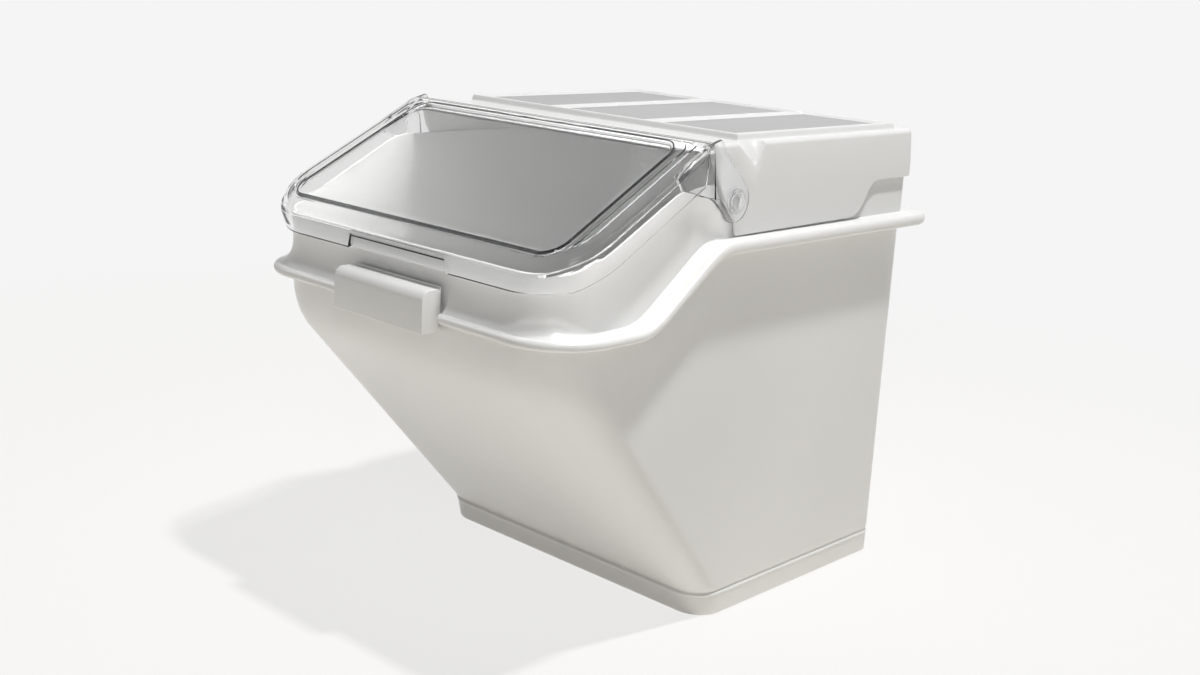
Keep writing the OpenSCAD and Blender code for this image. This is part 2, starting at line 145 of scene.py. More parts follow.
def shape_ring(verts, ring):
    for v, p in zip(verts, ring):
        v.co = to_frame(p)


def only_verts(geom):
    return [v for v in geom if isinstance(v, bmesh.types.BMVert)]


def draw_on(bm, verts, edges, ring):
    """Extrudes a closed loop of edges and lays the new loop on a ring. Returns the new loop."""
    place = {v: i for i, v in enumerate(verts)}
    geom = bmesh.ops.extrude_edge_only(bm, edges=edges)["geom"]
    new = [None] * len(verts)
    for v in only_verts(geom):
        old = next(e.other_vert(v) for e in v.link_edges if e.other_vert(v) in place)
        new[place[old]] = v
    shape_ring(new, ring)
    return new, [e for e in geom if isinstance(e, bmesh.types.BMEdge)]


def loft(rings, capped=True):
    """A skin drawn through rings of points from a circle, closed at both ends."""
    bm = bmesh.new()
    verts = bmesh.ops.create_circle(bm, segments=len(rings[0]), radius=1.0)["verts"]
    edges = list(bm.edges)
    shape_ring(verts, rings[0])
    ends = [list(edges)]
    for ring in rings[1:]:
        verts, edges = draw_on(bm, verts, edges, ring)
    ends.append(edges)
    if capped:
        for end in ends:
            face = bmesh.ops.contextual_create(bm, geom=end)["faces"]
            bmesh.ops.triangulate(bm, faces=face, ngon_method="BEAUTY")
    bmesh.ops.recalc_face_normals(bm, faces=bm.faces)
    return bm


def close_seam(bm):
    """Joins points that lie on each other, and turns the faces outwards."""
    bmesh.ops.remove_doubles(bm, verts=bm.verts, dist=MERGE)
    bmesh.ops.recalc_face_normals(bm, faces=bm.faces)


def prism(points, length):
    """An outline, given in metres, pushed out along X by a length."""
    bm = bmesh.new()
    verts = [bm.verts.new(p) for p in points]
    face = bmesh.ops.contextual_create(bm, geom=verts)["faces"]
    out = bmesh.ops.extrude_face_region(bm, geom=face)["geom"]
    bmesh.ops.translate(bm, verts=only_verts(out), vec=(length, 0, 0))
    bmesh.ops.recalc_face_normals(bm, faces=bm.faces)
    return bm


def soften(bm, edges, radius, segments=3, **extra):
    """Rounds the given edges."""
    bmesh.ops.bevel(bm, geom=edges, offset=radius, segments=segments, profile=0.5,
                    affect="EDGES", material=-1, **extra)


def add_bar(bm, size, centre, radius, segments):
    """Adds a block with soft edges."""
    verts = bmesh.ops.create_cube(bm, size=1.0)["verts"]
    bmesh.ops.scale(bm, verts=verts, vec=size)
    bmesh.ops.translate(bm, verts=verts, vec=centre)
    soften(bm, [e for e in bm.edges if e.verts[0] in verts], radius, segments)


def finish_piece(bm, name, material, body, replaced=(), sharp=38.0):
    """Turns a bmesh into a shown piece that rides on a body and takes the given materials."""
    mesh = bpy.data.meshes.new(name)
    for face in bm.faces:
        face.smooth = True
    bm.to_mesh(mesh)
    bm.free()
    mesh.set_sharp_from_angle(angle=radians(sharp))
    for m in material if isinstance(material, (list, tuple)) else [material]:
        mesh.materials.append(m)
    piece = bpy.data.objects.new(name, mesh)
    bpy.context.scene.collection.objects.link(piece)
    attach(piece, body)
    if replaced:
        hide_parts(*replaced)


# --- Materials --------------------------------------------

def rgb(text):
    """A linear colour from an sRGB hex value such as #DDDDDB."""
    parts = [int(text[i:i + 2], 16) / 255 for i in (1, 3, 5)]
    return tuple(c / 12.92 if c <= 0.04045 else ((c + 0.055) / 1.055) ** 2.4 for c in parts)


def rgba(colour):
    return (*colour[:3], 1.0)


def add(tree, kind, settings=None, **links):
    """Adds a node, sets its fields and sockets, and links sockets given another node's.

    A socket is linked by its name, with _ for a space, or by its number after an i."""
    node = tree.nodes.new(kind)
    for key, value in (settings or {}).items():
        if isinstance(key, str) and hasattr(node, key):
            setattr(node, key, value)
        else:
            node.inputs[key].default_value = value
    for key, socket in links.items():
        numbered = key[0] == "i" and key[1:].isdigit()
        tree.links.new(socket, node.inputs[int(key[1:]) if numbered else key.replace("_", " ")])
    return node


def new_material(name):
    material = bpy.data.materials.new(name)
    material.use_nodes = True
    material.node_tree.nodes.clear()
    return material, material.node_tree


def seen_ray(tree):
    """1 on the rays that show the background: to the camera, mirrored or through glass."""
    ray = add(tree, "ShaderNodeLightPath")
    seen = add(tree, "ShaderNodeMath", {"operation": "MAXIMUM"},
               i0=ray.outputs["Is Camera Ray"], i1=ray.outputs["Is Glossy Ray"])
    return add(tree, "ShaderNodeMath", {"operation": "MAXIMUM"}, i0=seen.outputs[0],
               i1=ray.outputs["Is Transmission Ray"]).outputs[0]


GLOSS_RANGE = 0.04  # how far the roughness of the white plastic drifts either way


def polypropylene_moulded(name, colour, roughness=0.3, peel_mm=14.0, peel_depth=0.00012,
                          shade="#E3E3E1"):
    """White polypropylene from a mould: even gloss, a slow orange peel and faint flow clouds."""
    material, tree = new_material(name)
    place = add(tree, "ShaderNodeTexCoord")
    cloud = add(tree, "ShaderNodeTexNoise", {"Scale": 5.0, "Detail": 0.0},
                Vector=place.outputs["Object"])
    # Sockets 6 and 7 of this node are its two colours
    tint = add(tree, "ShaderNodeMix", {"data_type": "RGBA", "clamp_factor": False,
               6: rgba(colour), 7: rgba(rgb(shade))}, Factor=cloud.outputs["Fac"])
    gloss = add(tree, "ShaderNodeMapRange", {"clamp": False, "To Min": roughness - GLOSS_RANGE,
                "To Max": roughness + GLOSS_RANGE}, Value=cloud.outputs["Fac"])
    peel = add(tree, "ShaderNodeTexNoise", {"Scale": 1.0 / (peel_mm * MM), "Detail": 1.0},
               Vector=place.outputs["Object"])
    bump = add(tree, "ShaderNodeBump", {"Strength": 0.35, "Distance": peel_depth},
               Height=peel.outputs["Fac"])
    shader = add(tree, "ShaderNodeBsdfPrincipled", {"IOR": 1.49}, Base_Color=tint.outputs[2],
                 Roughness=gloss.outputs["Result"], Normal=bump.outputs["Normal"])
    add(tree, "ShaderNodeOutputMaterial", Surface=shader.outputs["BSDF"])
    return material


def polycarbonate_clear(name, tint, roughness=0.02, veil="#DDDDDD"):
    """Clear moulded polycarbonate: sharp reflections, with a slight wave from the mould.

    The lamps' light goes straight through, dimmed by the veil, so the inside of the bin is lit."""
    material, tree = new_material(name)
    place = add(tree, "ShaderNodeTexCoord")
    wave = add(tree, "ShaderNodeTexNoise", {"Scale": 14.0, "Detail": 1.5},
               Vector=place.outputs["Object"])
    bump = add(tree, "ShaderNodeBump", {"Strength": 0.06, "Distance": 0.0006},
               Height=wave.outputs["Fac"])
    shader = add(tree, "ShaderNodeBsdfPrincipled", {"Base Color": rgba(tint), "IOR": 1.585,
                 "Roughness": roughness, "Transmission Weight": 1.0},
                 Normal=bump.outputs["Normal"])
    ray = add(tree, "ShaderNodeLightPath")
    through = add(tree, "ShaderNodeBsdfTransparent", {"Color": rgba(rgb(veil))})
    lit = add(tree, "ShaderNodeMixShader", i0=ray.outputs["Is Shadow Ray"],
              i1=shader.outputs["BSDF"], i2=through.outputs["BSDF"])
    add(tree, "ShaderNodeOutputMaterial", Surface=lit.outputs["Shader"])
    return material


def painted_shade_line(name, colour):
    """Dark glossy finish for painted shade: the thin lines round the window and in the lift notch.
    """
    material, tree = new_material(name)
    shader = add(tree, "ShaderNodeBsdfPrincipled", {"Base Color": rgba(colour),
                 "Roughness": 0.3, "IOR": 1.585, "Specular IOR Level": 0.2})
    add(tree, "ShaderNodeOutputMaterial", Surface=shader.outputs["BSDF"])
    return material


SHADE_NEAR, SHADE_FAR = 0.45, 1.6  # the floor's shading fades out between these, in metres


def paper_matte(name, s):
    """Matte paper backdrop, with the settings of the stage.

    Rays that show it get its even pale colour, with the shaded paper mixed in close to the bin
    only. All other rays get the shaded paper and the light that a bright studio floor gives."""
    material, tree = new_material(name)
    place = add(tree, "ShaderNodeTexCoord")
    reach = add(tree, "ShaderNodeVectorMath", {"operation": "LENGTH"}, i0=place.outputs["Object"])
    far = add(tree, "ShaderNodeMapRange", {"From Min": SHADE_NEAR, "From Max": SHADE_FAR,
              "To Min": s.shadow, "To Max": 0.0, "interpolation_type": "SMOOTHSTEP"},
              Value=reach.outputs["Value"])
    unseen = add(tree, "ShaderNodeMath", {"operation": "SUBTRACT", 0: 1.0}, i1=seen_ray(tree))
    share = add(tree, "ShaderNodeMath", {"operation": "MAXIMUM"}, i0=far.outputs["Result"],
                i1=unseen.outputs[0])
    paper = add(tree, "ShaderNodeBsdfDiffuse", {"Color": rgba(s.bounce), "Roughness": 1.0})
    glow = add(tree, "ShaderNodeEmission", {"Color": rgba(s.bounce), "Strength": s.glow})
    lit = add(tree, "ShaderNodeAddShader", i0=paper.outputs[0], i1=glow.outputs[0])
    even = add(tree, "ShaderNodeEmission", {"Color": rgba(s.floor), "Strength": 1.0})
    both = add(tree, "ShaderNodeMixShader", i0=share.outputs[0], i1=even.outputs[0],
               i2=lit.outputs[0])
    add(tree, "ShaderNodeOutputMaterial", Surface=both.outputs[0])
    return material


# --- Settings ---------------------------------------------

def length(name, text, mm, low=0.0, high=1.0):
    return FloatProperty(name=name, description=text, default=mm * MM, min=low, max=high,
                         unit="LENGTH", precision=4)


def amount(name, text, value, high, unit_name="NONE"):
    return FloatProperty(name=name, description=text, default=value, min=0, max=high,
                         unit=unit_name)


def colour(name, text, value):
    return FloatVectorProperty(name=name, description=text, default=rgb(value), subtype="COLOR",
                               min=0, max=1)


class TubSettings(bpy.types.PropertyGroup):
    wall: length("Wall", "Thickness of the tub wall", 3.0)
    bead_height: length("Bead height", "Height of the rim bead along the high run", 10.0)
    plinth: length("Plinth", "Height of the plinth band round the foot", 20.0)
    flare: length("Flare", "Height of the hollow flare from the bead to the collar in front", 19.0)
    white: colour("White", "Colour of the moulded polypropylene", "#EDEDEC")


class PullSettings(bpy.types.PropertyGroup):
    edge: length("Edge radius", "Radius on the edges of the pull", 1.6)
    wall: length("Wall", "Wall thickness of the pull", 2.8)
    white: colour("White", "Colour of the pull", "#EFEFEF")


class CoverSettings(bpy.types.PropertyGroup):
    wall: length("Wall", "Thickness of the cover", 2.5)
    sink: length("Panel sink", "Depth of the three sunk panels", 2.0)
    rib: length("Rib width", "Width of the ribs between the panels", 8.0)
    dimple: length("Dimple", "Depth of the pinch dimple on each shoulder", 18.0)
    white: colour("White", "Colour of the cover", "#EDEDEE")
    # The sunk panels are drawn a darker grey than the white of the cover
    panel: colour("Panel", "Colour of the textured panels", "#ABABAB")


class LidSettings(bpy.types.PropertyGroup):
    wall: length("Wall", "Thickness of the clear lid", 2.8)
    border: length("Border", "Height of the raised line round the window", 1.2)
    tint: colour("Tint", "Tint of the clear polycarbonate", "#F4F4F4")
    # The dark lines are painted shade along the steps round the window and in the lift notch
    line: colour("Line", "Colour of the dark lines at the window and the lift notch", "#1B1C1D")


class StageSettings(bpy.types.PropertyGroup):
    floor: colour("Floor", "Colour of the floor and backdrop", "#F5F5F5")
    shadow: amount("Shadow", "Share of the shaded floor near the bin", 0.24, 1)
    bounce: colour("Bounce", "Colour of the light that comes back from the floor", "#F2EFE9")
    glow: amount("Glow", "Strength of the light that the bright floor gives besides", 0.24, 2)
    fill: amount("Fill", "Strength of the even fill light", 0.07, 5)
    key: amount("Key", "Power of the weak key light at the right", 4.0, 1000, "POWER")
    top: amount("Top", "Power of the small lamp overhead", 52.0, 1000, "POWER")
    back: amount("Back", "Power of the soft lamp behind, at the left", 8.0, 1000, "POWER")
    lens: FloatProperty(name="Lens", description="Focal length of the camera", default=44.271,
                        min=1, max=500, unit="CAMERA")


# --- Tub --------------------------------------------------

# Half widths at the foot and under the rim, and corner radii (front, rear)
FOOT_HALF, RIM_HALF_WALL = 164.5, 174.5
FOOT_R, TOP_R, RIM_R = (26.0, 12.0), (52.0, 37.0), (54.0, 32.0)
# The front wall: how far it leans out, where the slope starts, and the bend that turns it upright
PLINTH_LEAN, SLOPE_Z0 = 6.0, 23.5
NOSE, NOSE_Z, NOSE_R, NOSE_TURN = 209.0, 272.0, 70.0, 41.8
# From SPLIT_Z up the rings fan out to follow the rim, which climbs from RIM_LOW to RIM_HIGH
# between y = BEND_LOW and y = BEND_HIGH
SPLIT_Z = 190.0
RIM_LOW, RIM_HIGH, BEND_LOW, BEND_HIGH = 278.0, 335.0, -110.0, -37.0
BEND_R, BEND_SAMPLES = 12.0, 4  # the rim's bends are rounded off by averaging
# The rim bead: how far it stands out, its slimmer height along the low run, and its round face
# as shares of the half height and distances back from the outermost line
RIM_REACH, SLIM = 10.0, 0.78
BEAD_UNDER = ((-1.0, 3.8), (-0.94, 2.4), (-0.8, 1.3), (-0.56, 0.45), (-0.26, 0.05), (0.0, 0.0))
BEAD_OVER = ((0.34, 0.24), (0.64, 0.94), (0.85, 1.9), (0.95, 2.8), (0.99, 3.8))
BEAD_ROOT, FAR_BACK = -1.04, 99.0  # where the bead leaves the wall, all the way back
# The break in the bead that takes the pull: half width, lean of its ends, length of their fade
BREAK_HALF, BREAK_LEAN, BREAK_FADE = 60.0, 0.6, 1.6
FRONT_RUN = 30.0  # depth of the zone at the front in which the break counts
TUB_STOPS = (0, 12, 24, 36, 46, 52, 56, 57.6, 58.4, 59.2, 60, 60.8, 61.6, 62.4, 64, 68, 76, 86,
             97, 108, 119)
# The hollow flare over the front bead: where it fades, how far it stands out, its arc, and the
# least step it leaves on the bead
FLARE_Y, FLARE_OUT, FLARE_ARC, FLARE_STEP = (-195, -150), 13.5, 64, 0.2
FLARE_ANGLES = (FLARE_ARC, 62, 52, 41, 30, 20, 10, 0)
# The collar: plan, heights, and its drop below the plane of the lid
COLLAR_HALF, COLLAR_FRONT, COLLAR_REAR, COLLAR_R = 171.5, -206.0, 253.0, (40.0, 14.0)
COLLAR_FRONT_Z, COLLAR_TOP_Z, COLLAR_DROP = 328.0, 384.0, 22.0
COLLAR_BLEND = (-9, -4.5, 0, 4.5, 9)
# The collar's lip: insets and drops of its outer rings, the same from the inner face, and the foot
LIP_OUTER = ((0.0, 14.0), (0.0, 1.2), (0.4, 0.3), (1.2, 0.0))
LIP_INNER = ((-1.0, 0.0), (-0.3, 0.4), (0.0, 1.4))
COLLAR_FOOT_UP = 2.0
LID_Z, LID_NOSE, LID_SLOPE = 342.0, 198.0, tan(radians(27.3))
# Heights and insets of the wall's rings: foot, plinth ledge, sloping part, and up under the rim
FOOT_ROUND = ((0.0, 2.4), (0.3, 1.3), (0.9, 0.5), (2.0, 0.0))
PLINTH_LEVELS = (6, 11, 16)
PLINTH_LEDGE = ((-1.6, 0.0), (-0.6, -0.5), (0.6, -0.5), (1.4, 0.3), (2.4, 1.2))
LEDGE_END = 0.9
SLOPE_LEVELS = (25.5, 28, 34, 46, 58, 70, 82, 94, 106, 118, 130, 142, 154, 166, 178)
UPPER_LEVELS = (190, 202, 214, 226, 232, 238, 244, 250, 256, 262, 268, 272)
INNER_LEVELS = (150, 110, 70, 40, 24, 14, 9)
FLOOR_ROUND = ((6.2, 0.8), (4.6, 2.6), (4.0, 5.0))


def rim_z(y):
    """Height of the rim: low in front and high behind."""
    shifts = [i * BEND_R / BEND_SAMPLES for i in range(-BEND_SAMPLES, BEND_SAMPLES + 1)]
    return sum(ramp(y + d, BEND_LOW, BEND_HIGH, RIM_LOW, RIM_HIGH) for d in shifts) / len(shifts)


def lid_plane(y):
    """Height of the lid's plane, which slopes up to the rear."""
    return LID_Z + (y + LID_NOSE) * LID_SLOPE


def collar_z(y):
    """Height of the collar: level in front, up under the lid, and level behind."""
    heights = [min(COLLAR_TOP_Z, max(COLLAR_FRONT_Z, lid_plane(y + d) - COLLAR_DROP))
               for d in COLLAR_BLEND]
    return sum(heights) / len(heights)


def front_out(z):
    """How far the front wall stands ahead of the foot: plinth, slope, bend, upright."""
    bend_z = NOSE_Z - NOSE_R * sin(radians(NOSE_TURN))
    bend_y = NOSE - NOSE_R * (1 - cos(radians(NOSE_TURN)))
    if z < SLOPE_Z0:
        return PLINTH_LEAN * z / SLOPE_Z0
    if z < bend_z:
        return ramp(z, SLOPE_Z0, bend_z, PLINTH_LEAN, bend_y)
    if z < NOSE_Z:
        return NOSE - NOSE_R * (1 - cos(asin((NOSE_Z - z) / NOSE_R)))
    return NOSE


class RICEBIN_OT_tub(bpy.types.Operator):
    """Draws the tub: plinth, sloping front, rim bead, flare and collar"""
    bl_idname = "ricebin.tub"
    bl_label = "Tub"

    def execute(self, context):
        s = context.scene.rice_tub
        wall, bead, plinth = s.wall / MM, s.bead_height / MM / 2, s.plinth / MM
        rim_base = RIM_LOW - bead

        def wall_plan(z, t):
            """Plan of the wall at a height, inset by t."""
            u = z / rim_base
            return plan(mix(FOOT_HALF, RIM_HALF_WALL, u) - t, t - front_out(z), FOOT_DEPTH - t,
                        mix(FOOT_R[0], TOP_R[0], u) - t, mix(FOOT_R[1], TOP_R[1], u) - t,
                        TUB_STOPS)

        def wall_ring(z, t):
            """A ring of the wall, which follows the rim more and more above SPLIT_Z."""
            ring = []
            for x, y in wall_plan(z, t):
                high = z
                if z > SPLIT_Z:
                    u = (z - SPLIT_Z) / (rim_base - SPLIT_Z)
                    high = mix(SPLIT_Z, rim_z(y) - bead, u)
                ring.append((x, y, high))
            return ring

        def collar_plan(t):
            """Plan of the collar, inset by t."""
            return plan(COLLAR_HALF - t, COLLAR_FRONT + t, COLLAR_REAR - t, COLLAR_R[0] - t,
                        COLLAR_R[1] - t, TUB_STOPS)

        top = wall_plan(rim_base, 0.0)
        rim = plan(TUB_HIGH.x / MM, -NOSE - RIM_REACH, RIM_REAR, *RIM_R, TUB_STOPS)
        collar = collar_plan(0.0)

        def bead_on(i, dz):
            """1 where the bead stands, 0 in the break that takes the pull."""
            x, y = top[i]
            if y > FRONT_RUN - NOSE:
                return 1.0
            past = abs(x) - BREAK_HALF + BREAK_LEAN * dz / bead
            return ease((past + BREAK_FADE / 2) / BREAK_FADE)

        def slim(y):
            """Share of the bead's height that is left: it is slimmer along the low run."""
            return ramp(y, BEND_LOW, BEND_HIGH, SLIM, 1.0)

        def rim_ring(start, back, dz):
            """A ring on the rim, a distance back from the bead's outer face towards start."""
            ring = []
            for i, ((xs, ys), (xb, yb)) in enumerate(zip(start, rim)):
                reach = sqrt((xb - xs) ** 2 + (yb - ys) ** 2)
                t = unit(1 - back / reach) * bead_on(i, dz)
                y = top[i][1]
                ring.append((mix(xs, xb, t), mix(ys, yb, t), rim_z(y) + dz * slim(y)))
            return ring

        def flare_ring(angle):
            """A ring on the hollow flare from the bead's top up to the collar."""
            out = (1 - cos(radians(angle))) / (1 - cos(radians(FLARE_ARC)))
            up = 1 - sin(radians(angle)) / sin(radians(FLARE_ARC))
            ring = []
            for i, ((xs, ys), (xb, yb)) in enumerate(zip(collar, rim)):
                y = top[i][1]
                tall = ramp(y, *FLARE_Y, s.flare / MM, 1.0)
                wide = ramp(y, *FLARE_Y, FLARE_OUT, 1.0)
                reach = sqrt((xb - xs) ** 2 + (yb - ys) ** 2)
                t = out * min(wide, reach - bead - FLARE_STEP) / reach * bead_on(i, bead)
                high = rim_z(y) + bead * slim(y) + up * tall
                ring.append((mix(xs, xb, t), mix(ys, yb, t), high))
            return ring

        def collar_ring(t, drop):
            return [(x, y, collar_z(o[1]) - drop) for (x, y), o in zip(collar_plan(t), collar)]

        def collar_foot(t, up):
            return [(x, y, rim_z(o[1]) + bead + up) for (x, y), o in zip(collar_plan(t), top)]

        levels = FOOT_ROUND + tuple((z, 0.0) for z in PLINTH_LEVELS)
        levels += tuple((plinth + up, t) for up, t in PLINTH_LEDGE) + ((SLOPE_Z0, LEDGE_END),)
        levels += tuple((z, 0.0) for z in SLOPE_LEVELS + UPPER_LEVELS)
        lip = LIP_OUTER + tuple((wall + t, drop) for t, drop in LIP_INNER)
        rings = [wall_ring(z, t) for z, t in levels]
        rings.append(rim_ring(top, FAR_BACK, BEAD_ROOT * bead))
        rings += [rim_ring(top, back, share * bead) for share, back in BEAD_UNDER]
        rings += [rim_ring(collar, back, share * bead) for share, back in BEAD_OVER]
        rings += [flare_ring(angle) for angle in FLARE_ANGLES]
        rings += [collar_ring(t, drop) for t, drop in lip] + [collar_foot(wall, COLLAR_FOOT_UP)]
        rings += [wall_ring(z, wall) for z in reversed(UPPER_LEVELS)]
        rings += [wall_ring(z, wall) for z in INNER_LEVELS]
        rings += [wall_ring(z, wall + t) for z, t in FLOOR_ROUND]
        white = polypropylene_moulded("tub_polypropylene", s.white)
        finish_piece(loft(rings), "tub_shell", white, "bin", ["bin_body"], sharp=23)
        return {"FINISHED"}


# --- Front pull -------------------------------------------

# Gaps between the block and its CAD box: in front, and on top, where the thin plate stands
PULL_GAP_Y, PULL_GAP_Z = 0.3, 0.6
PULL_STEP, PULL_ROOF = 14.0, 6.0  # step up at the back, and roof over the hollow
# The crown: radii of its front and back rounds, its dip from the top, and its set-back
CROWN_FRONT_R, CROWN_BACK_R, CROWN_DIP, CROWN_BACK = 8.4, 4.8, 0.4, 1.0
BACK_INSET, STEP_INSET = 2.5, 0.9  # how far the back stands in, below and above the step
# The thin plate behind the crown: shorter than the block by this, thickness, height, edge
PLATE_SHORTER, PLATE_THICK, PLATE_HIGH, PLATE_EDGE = 3.0, 1.0, 9.0, 0.3
SOFT_TURN = radians(35)  # edges that turn by more than this are softened


class RICEBIN_OT_pull(bpy.types.Operator):
    """Draws the white pull on the front rim: a hooked block, hollow from below, with soft edges"""
    bl_idname = "ricebin.pull"
    bl_label = "Front pull"

    def execute(self, context):
        s = context.scene.rice_pull
        back, low, crown = PULL_HIGH.y / MM, PULL_LOW.z / MM, PULL_HIGH.z / MM - PULL_GAP_Z
        front, step = PULL_LOW.y / MM + PULL_GAP_Y, low + PULL_STEP
        width = PULL_HIGH.x - PULL_LOW.x
        side = [(back - BACK_INSET, step), (back - BACK_INSET, low), (front, low)]
        side += arc(front + CROWN_FRONT_R, crown - CROWN_FRONT_R - CROWN_DIP, CROWN_FRONT_R,
                    180, 84, 14)
        side += arc(back - CROWN_BACK - CROWN_BACK_R, crown - CROWN_BACK_R - CROWN_DIP,
                    CROWN_BACK_R, 78, 4, 9)
        side += [(back - STEP_INSET, step)]
        bm = prism([(PULL_LOW.x, y * MM, z * MM) for y, z in side], width)
        # The flat underside gets the hollow
        under = [f for f in bm.faces
                 if f.normal.z < -0.9 and f.calc_center_median().z < (low + 1) * MM]
        bmesh.ops.inset_region(bm, faces=under, thickness=s.wall, depth=0)
        hollow = bmesh.ops.extrude_face_region(bm, geom=under)["geom"]
        bmesh.ops.delete(bm, geom=[f for f in under if f.is_valid], context="FACES_ONLY")
        tops = only_verts(hollow)
        bmesh.ops.translate(bm, verts=tops, vec=(0, 0, (crown - low - PULL_ROOF) * MM - s.wall))
        for v in tops:
            v.co.y = max(v.co.y, front * MM + s.wall)
        bmesh.ops.recalc_face_normals(bm, faces=bm.faces)
        edges = [e for e in bm.edges
                 if len(e.link_faces) == 2 and e.calc_face_angle(0) > SOFT_TURN]
        soften(bm, edges, s.edge * 0.5, clamp_overlap=True)
        thick, high = PLATE_THICK * MM, PLATE_HIGH * MM
        add_bar(bm, (width - PLATE_SHORTER * MM, thick, high),
                (0, PULL_HIGH.y - thick / 2, PULL_HIGH.z - high / 2), PLATE_EDGE * MM, 2)
        white = polypropylene_moulded("pull_polypropylene", s.white, 0.28, 30.0, 0.00005)
        finish_piece(bm, "pull_block", white, "bin", ["front_pull"], sharp=30)
        return {"FINISHED"}


# --- Rear cover -------------------------------------------

# Half width, height of the shoulders, and radius of the rear corners
COVER_HALF, COVER_TOP, COVER_R = 175.0, 415.5, 15.0
# The sides lean in by LEAN_SIDE over LEAN_RUN above LEAN_Z, and the shoulder starts LEAN in
LEAN, LEAN_SIDE, LEAN_Z, LEAN_RUN = 3.0, 2.2, 384.0, 30.0
LUG_Y, TUCK, TUCK_DROP = -41.0, 13.0, 5.6  # front edge over the lugs, and the tucked lip there
NOTCH_Z = 373.5  # roof of the hand notches
# The raised field on top: height, width of its edge, and plan
PLATEAU, LEDGE, PLATEAU_X, PLATEAU_Y = 5.0, 2.0, 159.0, (8.0, 235.0)
# The sunk panels: place of the ribs, insets from the field at the sides and ends, edge
RIB_X, PANEL_SIDE, PANEL_END, SINK_EDGE = 57.0, 6.0, 4.0, 2.5
DIMPLE_Y = (-6, 17, 27)  # start, deepest line and end of the dimples
SHOULDER_R, SHOULDER_OUT, TAIL_DROP, TAIL_R = 3.4, 1.0, 3.2, 4.0
# The lower lip of the sides, outside and inside: steps out and up from the edge
LIP_OUTSIDE, LIP_INSIDE = ((-0.5, 0.0), (0.0, 0.6)), ((0.2, 0.5), (0.0, 0.9))
SIDE_START, SIDE_END = 0.9, 4.0  # the side's points keep off the lip and the shoulder
SIDE_SHARES = (0.12, 0.3, 0.5, 0.7, 0.85)
SHOULDER_TURN = (0, 25, 50, 72, 90)
END_INSET = 0.6  # the closed rear end stands in from the lip
# Stops across the top: out and in from the field's edge, on the panels, at a rib, in the middle
OUTER_STOPS, FIELD_STOPS, PANEL_STOPS = (7, 4), (0.7, 2.5, 4), (140, 125, 110, 95, 80)
RIB_STOPS, MIDDLE_STOPS = (1.5, -1.5), (35, 20, 7)
# Stops along the cover: over the lugs, at the two ends of the field, along it, and at the rear
NEAR_STOPS, FAR_STOPS = (0.7, 2, PANEL_END, 5.2, 6.5), (6.5, 5.2, PANEL_END, 0.7)
LUG_YS = (-39.8, -38.6, -37.3, -36, -33.4, -30.6, -27.8, -25, -20.5, -16, -12.5, -9.4, -7.4, -6.8,
          -6.4, -5.5, -4, -1, 2.5)
FIELD_YS = (16, 17, 18, 19.5, 22, 24.5, 26, 27, 28, 33, 40, 55, 75, 100, 125, 145, 154)
NOTCH_START, NOTCH_END, REAR_YS = 155, 200, (203, 212, 222)
TAIL_BACK = (1.6, 0.9, 0.4, 0.12, 0.0)
RING_GAP, REAR_GAP, END_STEP = 0.5, 0.6, 0.05  # least steps between the last rings
FLAT = 0.97  # faces this level, and sunk this far, get the grain


def cover_edge(rear):
    """Lower edge of the cover's side: hinge lug, long run, and the hand notch at the rear."""
    z0 = COVER_LOW.z / MM
    lug = [(LUG_Y - TUCK, 407.5), (LUG_Y - 1, 409.0), (LUG_Y, 409.5), (-38.6, 399.5), (-36, 391),
           (-30.6, 380.5), (-25, 372.5), (-16, 361.2), (-9.4, 353.4), (-7.4, 350.3),
           (-6.8, 347.5), (-6.4, 344)]
    run = [(-5.5, 0.4), (-4, 0), (158.5, 1.4), (163, 2.6), (167.5, 5), (171, 8), (174.5, 11.5),
           (178, 17), (181.5, 22.5), (185, 27)]
    notch = [(188.5, NOTCH_Z - 2.6), (192.5, NOTCH_Z - 1), (197, NOTCH_Z), (rear, NOTCH_Z)]
    return lug + [(y, z0 + up) for y, up in run] + notch


